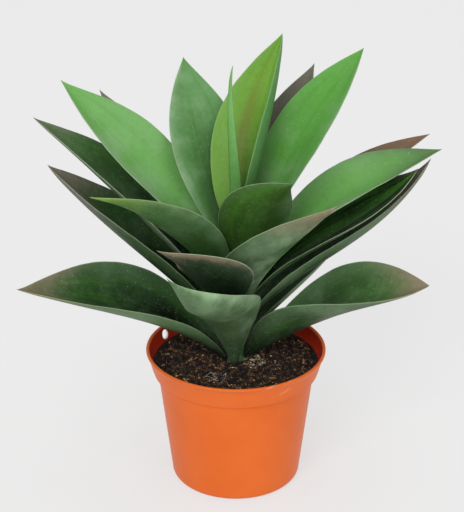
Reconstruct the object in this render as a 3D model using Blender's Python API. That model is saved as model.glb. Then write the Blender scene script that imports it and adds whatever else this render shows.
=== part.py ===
"""A potted rosette plant: broad pointed leaves round a short stem, in soil, in a tapered plastic pot.

Metres, +Z up. The origin is the centre of the pot's underside.
"""
import math
import random
from collections import namedtuple

import bmesh
import bpy
import numpy as np
from mathutils import Matrix

MM = 0.001

# Pot: a turned shell with a wider band under its lip
POT_HEIGHT = 102 * MM
LIP_RADIUS = 65 * MM
BASE_RADIUS = 47 * MM
BASE_CORNER = 4.7 * MM
STEP_HEIGHT = 84 * MM
STEP_RADIUS = 56.6 * MM
BAND_RADIUS = 59.8 * MM
LIP_BEAD = 1.2 * MM
STEP_SLOPE = 0.8 * MM
WALL = 1.6 * MM
FLOOR = 2.0 * MM
POT_SIDES = 56
CORNER_POINTS = 4
BEAD_POINTS = 6
RIM_HOLE_RADIUS = 3.5 * MM
RIM_HOLE_HEIGHT = 95.3 * MM
RIM_HOLE_AZIMUTH = 149
DRAIN_HOLES = 6
DRAIN_HOLE_RADIUS = 4.5 * MM
DRAIN_RING_RADIUS = 30 * MM
HOLE_SIDES = 14
PEG_LENGTH = 12 * MM

# Soil: fills the pot to a little under its lip, with a plain hole for the stem
GAP = 0.3 * MM
SOIL_TOP = 90.5 * MM
SOIL_RINGS = 9
SOIL_LUMP = 1.1 * MM
SOIL_SEED = 7

# Stem: stands in the soil and carries the leaves on its sides
STEM_FOOT = 60 * MM
STEM_NECK = 92 * MM
STEM_TOP = 176 * MM
STEM_FOOT_RADIUS = 6.2 * MM
STEM_TOP_RADIUS = 3.6 * MM
STEM_SIDES = 20

# Colours of the plain solids
POT_COLOUR = (0.74, 0.17, 0.05)
SOIL_COLOUR = (0.035, 0.022, 0.014)
STEM_COLOUR = (0.07, 0.14, 0.05)
LOW_LEAF_COLOUR = (0.06, 0.14, 0.06)
HIGH_LEAF_COLOUR = (0.12, 0.33, 0.08)
BRIGHT_ROOT = 145

# Leaves: rows along the blade, points across each of its two faces
LEAF_ROWS = 12
LEAF_ACROSS = 7
ROOT_HALF_WIDTH = 3.0 * MM
ROOT_CLEAR = 1.8 * MM
RIB_ROOT = 2.8 * MM
RIB_TIP = 1.3 * MM
MARGIN = 0.8 * MM
CREASE = 0.14

# One row for each leaf. azimuth is the way it points, in degrees from +X. root is the height where it
# leaves the stem. near, far and tip are places on its midrib at a third, two thirds and the whole of
# the leaf: how far out, how high, and how far aside to its left. roll turns the blade about its
# midrib, fold is the tilt of its two halves and curl their further rise to the margins, each at the
# root and at the tip, in degrees. belly is where along the leaf it is widest, and a higher taper
# makes a finer point.
Leaf = namedtuple("Leaf", "name azimuth root near far tip width belly taper roll fold curl")

LEAVES = (
    Leaf("low_front", -99, 94, (28, 137, 2), (67, 162, -4), (95, 199, -31), 52, 0.45, 1.6,
         (20, 16), (10, 13), (30, 24)),
    Leaf("low_left", 195, 95, (51, 128, 0), (102, 151, 0), (156, 167, 0), 74, 0.52, 1.3,
         (-12, -12), (25, 12), (55, 32)),
    Leaf("low_right", -15, 97, (49, 125, 0), (93, 150, 0), (138, 168, 0), 82, 0.5, 1.05,
         (-30, 24), (25, 12), (55, 32)),
    Leaf("low_behind_left", 122, 103, (45, 127, 0), (92, 152, 0), (138, 174, 0), 60, 0.52, 1.3,
         (0, 0), (25, 12), (50, 30)),
    Leaf("low_behind_right", 50, 106, (45, 124, 0), (92, 145, 0), (140, 172, 0), 60, 0.52, 1.3,
         (0, 0), (25, 12), (50, 30)),
    Leaf("mid_front_left", -118, 110, (27, 152, 5), (57, 184, 10), (88, 211, -13), 54, 0.6, 1.7,
         (18, 12), (14, 8), (30, 20)),
    Leaf("lower_left", 183, 116, (44, 158, 0), (85, 199, 2), (129, 248, 6), 60, 0.56, 1.15,
         (-3, -3), (25, 12), (45, 25)),
    Leaf("lower_right", 12, 117, (44, 156, -2), (93, 188, -4), (138, 240, -8), 42, 0.56, 1.2,
         (-8, -6), (25, 12), (45, 25)),
    Leaf("lower_behind", 82, 120, (40, 163, 0), (82, 198, 0), (120, 222, 0), 48, 0.56, 1.3,
         (0, 0), (20, 12), (45, 25)),
    Leaf("mid_front_right", -63, 129, (23, 165, -3), (47, 196, 5), (77, 235, 37), 52, 0.5, 1.4,
         (-6, 2), (12, 8), (28, 15)),
    Leaf("behind_left", 140, 127, (46, 176, 0), (90, 226, 0), (132, 268, -2), 46, 0.57, 1.3,
         (-4, -6), (20, 12), (40, 25)),
    Leaf("mid_left", 178, 133, (46, 184, 0), (88, 231, 0), (139, 276, 0), 50, 0.56, 1.3,
         (-12, -10), (20, 12), (45, 25)),
    Leaf("mid_right", 4, 135, (43, 174, 0), (87, 203, 0), (127, 237, 0), 49, 0.58, 1.2,
         (8, 14), (20, 12), (40, 20)),
    Leaf("mid_behind", 98, 138, (34, 186, 0), (66, 221, 0), (95, 242, 0), 48, 0.57, 1.3,
         (0, 0), (20, 12), (40, 25)),
    Leaf("behind_right", 45, 141, (44, 172, 0), (98, 200, -8), (170, 230, -34), 30, 0.64, 1.2,
         (4, 4), (18, 12), (26, 20)),
    Leaf("high_front", -84, 144, (15, 184, 8), (29, 220, 13), (50, 248, 33), 53, 0.6, 1.2,
         (0, 0), (10, 8), (26, 20)),
    Leaf("high_front_left", 225, 149, (35, 191, 0), (76, 228, 0), (120, 250, -15), 45, 0.48, 1.5,
         (20, 26), (12, 8), (28, 15)),
    Leaf("high_right", 10, 148, (44, 191, 0), (93, 224, 0), (147, 245, 0), 50, 0.56, 1.3,
         (6, 18), (20, 12), (35, 25)),
    Leaf("high_left", 170, 155, (39, 206, 0), (79, 252, 1), (122, 298, 2), 57, 0.56, 1.3,
         (-16, -26), (20, 12), (35, 25)),
    Leaf("tall_behind", 56, 155, (33, 206, 0), (62, 252, -3), (88, 294, -8), 44, 0.6, 1.3,
         (0, 0), (15, 12), (35, 25)),
    Leaf("tall_left", 116, 160, (20, 208, 3), (43, 256, 8), (62, 304, 11), 56, 0.57, 1.15,
         (0, 0), (12, 8), (24, 15)),
    Leaf("tall_right", 18, 163, (28, 217, 0), (57, 267, 0), (92, 318, 0), 58, 0.56, 1.1,
         (10, 16), (15, 10), (30, 20)),
    Leaf("tall_centre", 68, 175, (13, 224, -4), (31, 273, -9), (45, 326, -16), 74, 0.52, 1.15,
         (-36, -34), (24, 18), (46, 45)),
    Leaf("heart", 180, 181, (2, 222, 0), (4, 268, 0), (2, 315, 0), 12, 0.4, 1.3,
         (0, 0), (60, 50), (40, 20)),
)


def smooth_between(low, high, share):
    return low + (high - low) * share


def bezier_handles(points):
    """The two handles of the cubic curve that passes four places at equal steps."""
    root, near, far, tip = points
    first = (-5 * root + 18 * near - 9 * far + 2 * tip) / 6
    second = (2 * root - 9 * near + 18 * far - 5 * tip) / 6
    return first, second


def midrib(points, shares):
    """Places and directions on the midrib at the given shares of its length."""
    root, _, _, tip = points
    first, second = bezier_handles(points)
    steps = np.linspace(0.0, 1.0, 201)[:, None]
    back = 1.0 - steps
    path = back**3 * root + 3 * back**2 * steps * first + 3 * back * steps**2 * second + steps**3 * tip
    lengths = np.linalg.norm(np.diff(path, axis=0), axis=1)
    travel = np.concatenate(([0.0], np.cumsum(lengths)))
    at = np.interp(np.asarray(shares) * travel[-1], travel, steps[:, 0])[:, None]
    back = 1.0 - at
    place = back**3 * root + 3 * back**2 * at * first + 3 * back * at**2 * second + at**3 * tip
    slope = back**2 * (first - root) + 2 * back * at * (second - first) + at**2 * (tip - second)
    return place, slope / np.linalg.norm(slope, axis=1)[:, None]


def stem_radius(height):
    """The stem's radius at a height above the pot's underside."""
    share = max(0.0, (height - STEM_NECK) / (STEM_TOP - STEM_NECK))
    return smooth_between(STEM_FOOT_RADIUS, STEM_TOP_RADIUS, share)


def leaf_places(leaf):
    """Root, third, two thirds and tip of a leaf's midrib, in metres."""
    angle = math.radians(leaf.azimuth)
    out = np.array((math.cos(angle), math.sin(angle), 0.0))
    aside = np.array((-math.sin(angle), math.cos(angle), 0.0))
    up = np.array((0.0, 0.0, 1.0))
    root_reach = stem_radius(leaf.root * MM) + ROOT_CLEAR
    places = [out * root_reach + up * leaf.root * MM]
    for reach, height, left in (leaf.near, leaf.far, leaf.tip):
        places.append((out * reach + up * height + aside * left) * MM)
    return places, aside


def half_width(leaf, share):
    """Half the blade's width at a share of its length: narrow root, belly, pointed tip."""
    rise = leaf.taper * leaf.belly / (1 - leaf.belly)
    peak = leaf.belly**rise * (1 - leaf.belly)**leaf.taper
    bulge = share**rise * (1 - share)**leaf.taper / peak
    return leaf.width * MM / 2 * bulge + ROOT_HALF_WIDTH * (1 - share)**3


def blade_faces(leaf, shares, across):
    """Points of the blade's upper and lower face, as arrays of rows by points across."""
    places, aside = leaf_places(leaf)
    place, along = midrib(places, shares)
    shares = np.asarray(shares)[:, None]
    across = np.asarray(across)[None, :]
    side = aside - along * (along @ aside)[:, None]
    side /= np.linalg.norm(side, axis=1)[:, None]
    face = np.cross(along, side)
    roll = np.radians(smooth_between(*leaf.roll, shares))
    fold = np.radians(smooth_between(*leaf.fold, shares))
    curl = np.radians(smooth_between(*leaf.curl, shares)) + 1e-3
    turned_side = side * np.cos(roll) + face * np.sin(roll)
    turned_face = face * np.cos(roll) - side * np.sin(roll)
    out = np.abs(across)
    eased = np.sqrt(across**2 + CREASE**2)
    width = half_width(leaf, shares)
    tilt = fold + curl * out
    sideways = np.sign(across) * width * (np.sin(tilt) - np.sin(fold)) / curl
    height = width * (np.cos(fold) - np.cos(fold + curl * (eased - CREASE))) / curl
    lean = tilt * across / eased
    rib = smooth_between(RIB_ROOT, RIB_TIP, shares)
    thickness = MARGIN + (rib - MARGIN) * (1 - out**2)
    upper = (place[:, None, :] + turned_side[:, None, :] * sideways[..., None]
             + turned_face[:, None, :] * height[..., None])
    normal = (turned_face[:, None, :] * np.cos(lean)[..., None]
              - turned_side[:, None, :] * np.sin(lean)[..., None])
    return upper, upper - normal * thickness[..., None]


def leaf_mesh(leaf):
    """A closed blade with its two faces split into triangles alike."""
    shares = np.arange(LEAF_ROWS) / LEAF_ROWS
    across = np.linspace(-1, 1, LEAF_ACROSS)
    upper, lower = blade_faces(leaf, shares, across)
    places, _ = leaf_places(leaf)
    apex = len(shares) * LEAF_ACROSS * 2
    points = list(upper.reshape(-1, 3)) + list(lower.reshape(-1, 3)) + [places[3]]

    def at(low, row, column):
        return low * LEAF_ROWS * LEAF_ACROSS + row * LEAF_ACROSS + column

    faces = []
    middle = LEAF_ACROSS // 2
    for row in range(LEAF_ROWS - 1):
        for column in range(LEAF_ACROSS - 1):
            for low in (0, 1):
                a = at(low, row, column)
                b = at(low, row, column + 1)
                c = at(low, row + 1, column + 1)
                d = at(low, row + 1, column)
                pair = [(a, b, c), (a, c, d)] if column < middle else [(a, b, d), (b, c, d)]
                faces += [tri[::-1] for tri in pair] if low == 0 else pair
        for column in (0, LEAF_ACROSS - 1):
            a = at(0, row, column)
            b = at(1, row, column)
            c = at(1, row + 1, column)
            d = at(0, row + 1, column)
            pair = [(a, b, c), (a, c, d)]
            faces += pair if column == 0 else [tri[::-1] for tri in pair]
    last = LEAF_ROWS - 1
    for column in range(LEAF_ACROSS - 1):
        faces.append((at(0, last, column), apex, at(0, last, column + 1)))
        faces.append((at(1, last, column), at(1, last, column + 1), apex))
        faces.append((at(0, 0, column), at(0, 0, column + 1), at(1, 0, column)))
        faces.append((at(0, 0, column + 1), at(1, 0, column + 1), at(1, 0, column)))
    faces.append((at(0, last, 0), at(1, last, 0), apex))
    faces.append((at(0, last, LEAF_ACROSS - 1), apex, at(1, last, LEAF_ACROSS - 1)))
    return points, faces


def new_material(name, colour, roughness):
    material = bpy.data.materials.new(name)
    material.use_nodes = True
    shader = material.node_tree.nodes["Principled BSDF"]
    shader.inputs["Base Color"].default_value = (*colour, 1.0)
    shader.inputs["Roughness"].default_value = roughness
    shader.inputs["Metallic"].default_value = 0.0
    return material


def new_object(name, points, faces, material):
    """An object made from points and faces, joined to the scene."""
    mesh = bpy.data.meshes.new(name)
    mesh.from_pydata([tuple(float(value) for value in point) for point in points], [], faces)
    mesh.materials.append(material)
    mesh.shade_smooth()
    mesh.set_sharp_from_angle(angle=math.radians(40))
    body = bpy.data.objects.new(name, mesh)
    bpy.context.scene.collection.objects.link(body)
    return body


def revolve(profile, sides):
    """Turns a profile of radius and height about +Z. It runs from the axis, out, up, in and back."""
    points = []
    rings = []
    for radius, height in profile:
        if radius == 0.0:
            rings.append([len(points)] * sides)
            points.append((0.0, 0.0, height))
            continue
        rings.append(list(range(len(points), len(points) + sides)))
        for step in range(sides):
            angle = 2 * math.pi * step / sides
            points.append((radius * math.cos(angle), radius * math.sin(angle), height))
    faces = []
    for low, high in zip(rings, rings[1:]):
        for step in range(sides):
            after = (step + 1) % sides
            corners = [low[step], low[after], high[after], high[step]]
            faces.append(tuple(dict.fromkeys(corners)))
    return points, faces


def arc(centre, radius, start, end, steps):
    """Points on an arc in the radius and height plane, angles in degrees."""
    found = []
    for step in range(steps + 1):
        angle = math.radians(smooth_between(start, end, step / steps))
        found.append((centre[0] + radius * math.cos(angle), centre[1] + radius * math.sin(angle)))
    return found


def wall_radius(height):
    """The pot's outer radius below its band."""
    share = (height - BASE_CORNER) / (STEP_HEIGHT - BASE_CORNER)
    return smooth_between(BASE_RADIUS, STEP_RADIUS, share)


def band_radius(height):
    """The outer radius of the band under the lip."""
    share = (height - STEP_HEIGHT) / (POT_HEIGHT - 2 * LIP_BEAD - STEP_HEIGHT)
    return smooth_between(BAND_RADIUS, LIP_RADIUS - LIP_BEAD, share)


def pot_profile():
    corner = (BASE_RADIUS - BASE_CORNER, BASE_CORNER)
    bead = (LIP_RADIUS - LIP_BEAD, POT_HEIGHT - LIP_BEAD)
    shelf = STEP_HEIGHT + WALL
    outside = [(0.0, 0.0)] + arc(corner, BASE_CORNER, -90, 0, CORNER_POINTS)
    outside += [(STEP_RADIUS, STEP_HEIGHT), (BAND_RADIUS, STEP_HEIGHT + STEP_SLOPE)]
    lip = arc(bead, LIP_BEAD, -60, 210, BEAD_POINTS)
    inside = [(band_radius(shelf + STEP_SLOPE) - WALL, shelf + STEP_SLOPE)]
    inside += [(wall_radius(shelf) - WALL, shelf)]
    inside += arc(corner, BASE_CORNER - WALL, 0, -90, 2)[:-1]
    inside += [(BASE_RADIUS - BASE_CORNER, FLOOR), (0.0, FLOOR)]
    return outside + lip + inside


def hole_cutter():
    """Pegs that pierce the pot's floor and, once, the band under its lip."""
    mesh = bpy.data.meshes.new("hole_cutter")
    shape = bmesh.new()
    turn = 2 * math.pi / DRAIN_HOLES
    for number in range(DRAIN_HOLES):
        add_peg(shape, DRAIN_HOLE_RADIUS, drain_place(turn * number))
    add_peg(shape, RIM_HOLE_RADIUS, rim_hole_place())
    shape.to_mesh(mesh)
    shape.free()
    cutter = bpy.data.objects.new("hole_cutter", mesh)
    bpy.context.scene.collection.objects.link(cutter)
    cutter.hide_render = True
    cutter.display_type = "WIRE"
    return cutter


def add_peg(shape, radius, place):
    bmesh.ops.create_cone(shape, cap_ends=True, segments=HOLE_SIDES, radius1=radius, radius2=radius,
                          depth=PEG_LENGTH, matrix=place)


def drain_place(angle):
    return (Matrix.Rotation(angle, 4, "Z")
            @ Matrix.Translation((DRAIN_RING_RADIUS, 0.0, 0.0)))


def rim_hole_place():
    radius = band_radius(RIM_HOLE_HEIGHT)
    return (Matrix.Rotation(math.radians(RIM_HOLE_AZIMUTH), 4, "Z")
            @ Matrix.Translation((radius, 0.0, RIM_HOLE_HEIGHT))
            @ Matrix.Rotation(math.pi / 2, 4, "Y"))


def make_pot():
    points, faces = revolve(pot_profile(), POT_SIDES)
    pot = new_object("pot", points, faces, new_material("pot_plastic", POT_COLOUR, 0.42))
    cut = pot.modifiers.new("holes", "BOOLEAN")
    cut.operation = "DIFFERENCE"
    cut.object = hole_cutter()
    return pot


def make_soil():
    """Soil to the pot's inner walls, lumpy on top, with a blind hole for the stem."""
    rng = random.Random(SOIL_SEED)
    facet = math.cos(math.pi / POT_SIDES)
    shelf = STEP_HEIGHT + WALL
    foot = FLOOR + GAP
    corner = BASE_CORNER + foot
    hole = STEM_FOOT_RADIUS / math.cos(math.pi / STEM_SIDES) + GAP
    sides = [(0.0, foot), (BASE_RADIUS - BASE_CORNER, foot)]
    sides += [(wall_radius(corner) * facet - WALL - GAP, corner)]
    sides += [(wall_radius(shelf) * facet - WALL - GAP, shelf + GAP + STEP_SLOPE)]
    edge = band_radius(SOIL_TOP) * facet - WALL - GAP
    sides += [(band_radius(shelf) * facet - WALL - GAP, shelf + GAP + STEP_SLOPE)]
    top = []
    for ring in range(SOIL_RINGS):
        top.append((smooth_between(edge, hole, (ring / (SOIL_RINGS - 1))**0.9), SOIL_TOP))
    bore = [(hole, STEM_FOOT - GAP), (0.0, STEM_FOOT - GAP)]
    profile = sides + top + bore
    points, faces = revolve(profile, POT_SIDES)
    first = len(sides)
    for index, point in enumerate(points):
        ring = (index - 1) // POT_SIDES + 1
        if first < ring < first + SOIL_RINGS - 1:
            lump = rng.uniform(-SOIL_LUMP, SOIL_LUMP)
            points[index] = (point[0], point[1], point[2] + lump)
    return new_object("soil", points, faces, new_material("peat", SOIL_COLOUR, 0.95))


def make_stem():
    profile = [(0.0, STEM_FOOT), (STEM_FOOT_RADIUS, STEM_FOOT)]
    for height in (STEM_NECK, STEM_NECK + (STEM_TOP - STEM_NECK) / 2, STEM_TOP - STEM_TOP_RADIUS):
        profile.append((stem_radius(height), height))
    profile += arc((0.0, STEM_TOP - STEM_TOP_RADIUS), STEM_TOP_RADIUS, 30, 60, 1)
    profile += [(0.0, STEM_TOP)]
    points, faces = revolve(profile, STEM_SIDES)
    return new_object("stem", points, faces, new_material("stem_green", STEM_COLOUR, 0.6))


def make_leaf(leaf, material):
    points, faces = leaf_mesh(leaf)
    return new_object("leaf_" + leaf.name, points, faces, material)


def main():
    for old in list(bpy.data.objects):
        bpy.data.objects.remove(old)
    make_pot()
    make_soil()
    make_stem()
    low = new_material("leaf_dark_green", LOW_LEAF_COLOUR, 0.5)
    high = new_material("leaf_bright_green", HIGH_LEAF_COLOUR, 0.45)
    for leaf in LEAVES:
        make_leaf(leaf, high if leaf.root > BRIGHT_ROOT else low)


main()
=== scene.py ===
"""The looks of a potted rosette plant: leaves, stem, peat and nursery pot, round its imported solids.

Metres, +Z up. Names and sizes follow the part's own source.
"""

import math
from collections import namedtuple

import bmesh
import bpy
from mathutils import Matrix, Vector


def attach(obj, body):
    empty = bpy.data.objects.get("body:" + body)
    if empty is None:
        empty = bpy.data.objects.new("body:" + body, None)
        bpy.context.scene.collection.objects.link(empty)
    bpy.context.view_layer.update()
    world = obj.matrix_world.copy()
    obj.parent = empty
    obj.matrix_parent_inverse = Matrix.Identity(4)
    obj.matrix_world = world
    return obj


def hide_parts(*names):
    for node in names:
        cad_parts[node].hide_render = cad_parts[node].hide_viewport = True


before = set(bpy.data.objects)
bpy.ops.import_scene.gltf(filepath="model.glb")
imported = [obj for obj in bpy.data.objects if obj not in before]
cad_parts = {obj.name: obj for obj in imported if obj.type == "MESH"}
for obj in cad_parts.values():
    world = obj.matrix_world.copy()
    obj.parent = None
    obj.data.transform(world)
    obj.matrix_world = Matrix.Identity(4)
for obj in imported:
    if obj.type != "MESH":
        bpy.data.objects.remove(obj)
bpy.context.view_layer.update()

MM = 0.001


# Node trees are written as sums: a Flow is one value on its way through a tree

class Flow:
    """A number, vector or colour in a node tree. Adding or multiplying flows adds the nodes for it."""

    def __init__(self, tree, socket):
        self.tree = tree
        self.socket = socket

    def many(self):
        return self.socket.type in ("VECTOR", "RGBA")

    def __add__(self, other):
        return reckon(self.tree, "ADD", self, other)

    __radd__ = __add__

    def __sub__(self, other):
        return reckon(self.tree, "SUBTRACT", self, other)

    def __rsub__(self, other):
        return reckon(self.tree, "SUBTRACT", other, self)

    def __mul__(self, other):
        if self.many() != is_many(other):
            vector, number = (self, other) if self.many() else (other, self)
            return arrow(self.tree, "SCALE", vector, scale=number)
        return reckon(self.tree, "MULTIPLY", self, other)

    __rmul__ = __mul__

    def __truediv__(self, other):
        return reckon(self.tree, "DIVIDE", self, other)

    def __rtruediv__(self, other):
        return reckon(self.tree, "DIVIDE", other, self)

    def __pow__(self, other):
        return sum_of(self.tree, "POWER", self, other)


def is_many(value):
    return value.many() if isinstance(value, Flow) else isinstance(value, (tuple, Vector))


def put(tree, socket, value):
    """Links a flow to a socket, or sets the socket's own value."""
    if isinstance(value, Flow):
        tree.links.new(value.socket, socket)
    else:
        socket.default_value = value


def add_node(tree, kind, inputs=None, **settings):
    node = tree.nodes.new(kind)
    for name, value in settings.items():
        setattr(node, name, value)
    for name, value in (inputs or {}).items():
        put(tree, live_socket(node, name), value)
    return node


def live_socket(node, name):
    """The input of that name or number that the node uses with its present settings."""
    if isinstance(name, int):
        return node.inputs[name]
    return next(socket for socket in node.inputs if socket.name == name and socket.enabled)


def out(node, name=0):
    if isinstance(name, int):
        return Flow(node.id_data, node.outputs[name])
    socket = next(socket for socket in node.outputs if socket.name == name and socket.enabled)
    return Flow(node.id_data, socket)


def sum_of(tree, operation, *values):
    node = add_node(tree, "ShaderNodeMath", operation=operation)
    for socket, value in zip(node.inputs, values):
        put(tree, socket, value)
    return out(node)


def arrow(tree, operation, *values, scale=None):
    node = add_node(tree, "ShaderNodeVectorMath", operation=operation)
    for socket, value in zip(node.inputs, values):
        put(tree, socket, value)
    if scale is not None:
        put(tree, node.inputs["Scale"], scale)
    return out(node, "Value" if operation == "DOT_PRODUCT" else "Vector")


def reckon(tree, operation, first, second):
    work = arrow if is_many(first) or is_many(second) else sum_of
    return work(tree, operation, first, second)


def sin(value):
    return sum_of(value.tree, "SINE", value)


def cos(value):
    return sum_of(value.tree, "COSINE", value)


def size_of(value):
    return sum_of(value.tree, "ABSOLUTE", value)


def sign_of(value):
    return sum_of(value.tree, "SIGN", value)


def lesser(value, other):
    return sum_of(value.tree, "MINIMUM", value, other)


def greater(value, other):
    return sum_of(value.tree, "MAXIMUM", value, other)


def between(low, high, share):
    """From low to high as share goes from 0 to 1."""
    return low + (high - low) * share


def ease(value, start, end, low=0.0, high=1.0):
    """A smooth step from low to high as value goes from start to end."""
    node = add_node(value.tree, "ShaderNodeMapRange", {
        "Value": value, "From Min": start, "From Max": end, "To Min": low, "To Max": high,
    }, interpolation_type="SMOOTHSTEP")
    return out(node, "Result")


def unit(vector):
    return arrow(vector.tree, "NORMALIZE", vector)


def dot(first, second):
    return arrow(first.tree, "DOT_PRODUCT", first, second)


def cross(first, second):
    return arrow(first.tree, "CROSS_PRODUCT", first, second)


def parts_of(vector):
    node = add_node(vector.tree, "ShaderNodeSeparateXYZ", {0: vector})
    return out(node, 0), out(node, 1), out(node, 2)


def vector_of(tree, x, y, z):
    return out(add_node(tree, "ShaderNodeCombineXYZ", {0: x, 1: y, 2: z}))


def blend_colours(share, first, second):
    """The second colour laid over the first by share."""
    node = add_node(share.tree, "ShaderNodeMix", {0: share, 6: first, 7: second},
                    data_type="RGBA", clamp_factor=True)
    return out(node, 2)


def noise(tree, place, scale, detail=2.0, roughness=0.5, seed=None):
    """Smooth noise about 0.5. seed moves to another slice of it."""
    inputs = {"Vector": place, "Scale": scale, "Detail": detail, "Roughness": roughness}
    if seed is None:
        return out(add_node(tree, "ShaderNodeTexNoise", inputs), 0)
    inputs["W"] = seed
    return out(add_node(tree, "ShaderNodeTexNoise", inputs, noise_dimensions="4D"), 0)


def new_tree(name, kind, inputs, outputs):
    """A node group with named inputs and outputs. Returns it with its inputs as flows."""
    tree = bpy.data.node_groups.new(name, kind)
    for label, socket_type, value in inputs:
        socket = tree.interface.new_socket(label, in_out="INPUT", socket_type=socket_type)
        if value is not None:
            socket.default_value = value
    for label, socket_type in outputs:
        tree.interface.new_socket(label, in_out="OUTPUT", socket_type=socket_type)
    start = tree.nodes.new("NodeGroupInput")
    given = {socket.name: Flow(tree, socket) for socket in start.outputs if socket.name}
    return tree, given


def end_tree(tree, **results):
    finish = tree.nodes.new("NodeGroupOutput")
    for label, value in results.items():
        put(tree, finish.inputs[label.replace("_", " ")], value)


def keep(tree, shape, name, value, domain="POINT"):
    """Stores a number on the shape under a name that materials can read."""
    node = add_node(tree, "GeometryNodeStoreNamedAttribute",
                    {"Geometry": shape, "Name": name, "Value": value}, data_type="FLOAT", domain=domain)
    return out(node)


def close_tree(tree, shape, material, smooth=True):
    """Ends a tree with plain, painted geometry."""
    shape = out(add_node(tree, "GeometryNodeRealizeInstances", {0: shape}))
    shape = out(add_node(tree, "GeometryNodeSetShadeSmooth", {"Geometry": shape, "Shade Smooth": smooth}))
    shape = out(add_node(tree, "GeometryNodeSetMaterial", {"Geometry": shape, "Material": material}))
    end_tree(tree, Geometry=shape)


def grown(name, tree, values, points=()):
    """A plain mesh object made by a geometry tree from some points, or from a mesh."""
    seed = points
    if not isinstance(points, bpy.types.Mesh):
        seed = bpy.data.meshes.new(name + "_seed")
        seed.from_pydata([tuple(point) for point in points], [], [])
    source = bpy.data.objects.new(name + "_source", seed)
    bpy.context.scene.collection.objects.link(source)
    modifier = source.modifiers.new("grow", "NODES")
    modifier.node_group = tree
    for item in tree.interface.items_tree:
        if item.item_type == "SOCKET" and item.in_out == "INPUT" and item.name in values:
            modifier[item.identifier] = values[item.name]
    depsgraph = bpy.context.evaluated_depsgraph_get()
    mesh = bpy.data.meshes.new_from_object(source.evaluated_get(depsgraph), preserve_all_data_layers=True,
                                           depsgraph=depsgraph)
    bpy.data.objects.remove(source)
    mesh.name = name
    piece = bpy.data.objects.new(name, mesh)
    bpy.context.scene.collection.objects.link(piece)
    return piece


def dress(piece, slot, *nodes):
    """Fixes a finished piece to the part: it rides on it and may stand for solids. Slot, the name of its
    finish, is not used.
    """
    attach(piece, "root")
    if nodes:
        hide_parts(*nodes)


# Colours, as they would be picked on a screen

def tone(red, green, blue):
    """A screen colour from 0 to 255 as the linear colour that shaders use."""
    def linear(value):
        value /= 255
        return value / 12.92 if value < 0.04045 else ((value + 0.055) / 1.055)**2.4
    return linear(red), linear(green), linear(blue), 1.0


BRIGHT = tone(92, 158, 66)
FRESH = tone(106, 164, 84)
SPRING = tone(116, 166, 56)
MID = tone(90, 140, 78)
DEEP = tone(42, 76, 34)
DARK = tone(24, 46, 22)
MOSS = tone(60, 96, 34)
FERN = tone(64, 100, 52)
GREY_GREEN = tone(78, 104, 68)
OLIVE = tone(48, 72, 40)
DUSK = tone(78, 86, 68)
PURPLE = tone(116, 108, 98)
ROSE = tone(136, 118, 98)
RUSSET = tone(122, 92, 72)
STRAW = tone(120, 150, 58)
RIM_HIGHLIGHT = tone(150, 168, 134)
BLOOM = tone(150, 182, 142)
SHADE = tone(6, 14, 5)
GLOW = tone(66, 124, 30)
STRIPE = tone(128, 124, 52)
SPECK = tone(196, 208, 186)
POT_ORANGE = tone(212, 97, 33)
POT_PALE_ORANGE = tone(218, 103, 38)
POT_WORN = tone(232, 156, 112)
POT_DUST = tone(176, 104, 62)
POT_INSIDE_SHADE = tone(186, 34, 26)
PEAT_BLACK = tone(8, 5, 4)
PEAT_BROWN = tone(66, 43, 28)
PEAT_TAN = tone(96, 64, 38)
STEM_DARK = tone(24, 58, 30)
STEM_PALE = tone(62, 104, 62)
EARTH = tone(60, 48, 34)
FLOOR_GREY = tone(134, 134, 134)
WHITE = (1.0, 1.0, 1.0, 1.0)


# Leaves: the same table and the same rule as the solids, with far more rows

ROOT_HALF_WIDTH = 3.0 * MM
ROOT_CLEAR = 1.8 * MM
RIB_ROOT = 2.8 * MM
RIB_TIP = 1.3 * MM
MARGIN = 0.8 * MM
CREASE = 0.14
STEM_NECK = 92 * MM
STEM_TOP = 176 * MM
STEM_FOOT_RADIUS = 6.2 * MM
STEM_TOP_RADIUS = 3.6 * MM
LEAF_ROWS = 90
LEAF_AROUND = 49
LEAF_BURIED = 0.025  # the share of a blade's length that goes on inside the stem
MIDRIB_STEPS = 200
ROOT_CLOSING = 40.0  # the blade closes over the first 1/40 of its rows
TIP_THINNING = 14.0  # and thins over the last 1/14 of its length
MARGIN_ROUNDING = 0.25
RIPPLE = 1.6 * MM
RIPPLE_LENGTH = 22 * MM
RIPPLE_FADE = 100.0  # ripples are full where the half width is at least 1/100 m
SEAM_WELD = 0.012 * MM
SEED_STEP = 3.7
SKIN_RELIEF = 0.35 * MM

# A leaf's direction in degrees and the height of its root, then the reach, height and shift aside of its
# midrib at a third, two thirds and the tip, and its width, in millimetres. Belly is the share of its length
# at which it is widest, and taper how sharply it narrows to the tip. Roll, fold and curl are in degrees,
# at the root and at the tip.
Leaf = namedtuple("Leaf", "name azimuth root near far tip width belly taper roll fold curl")

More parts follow.
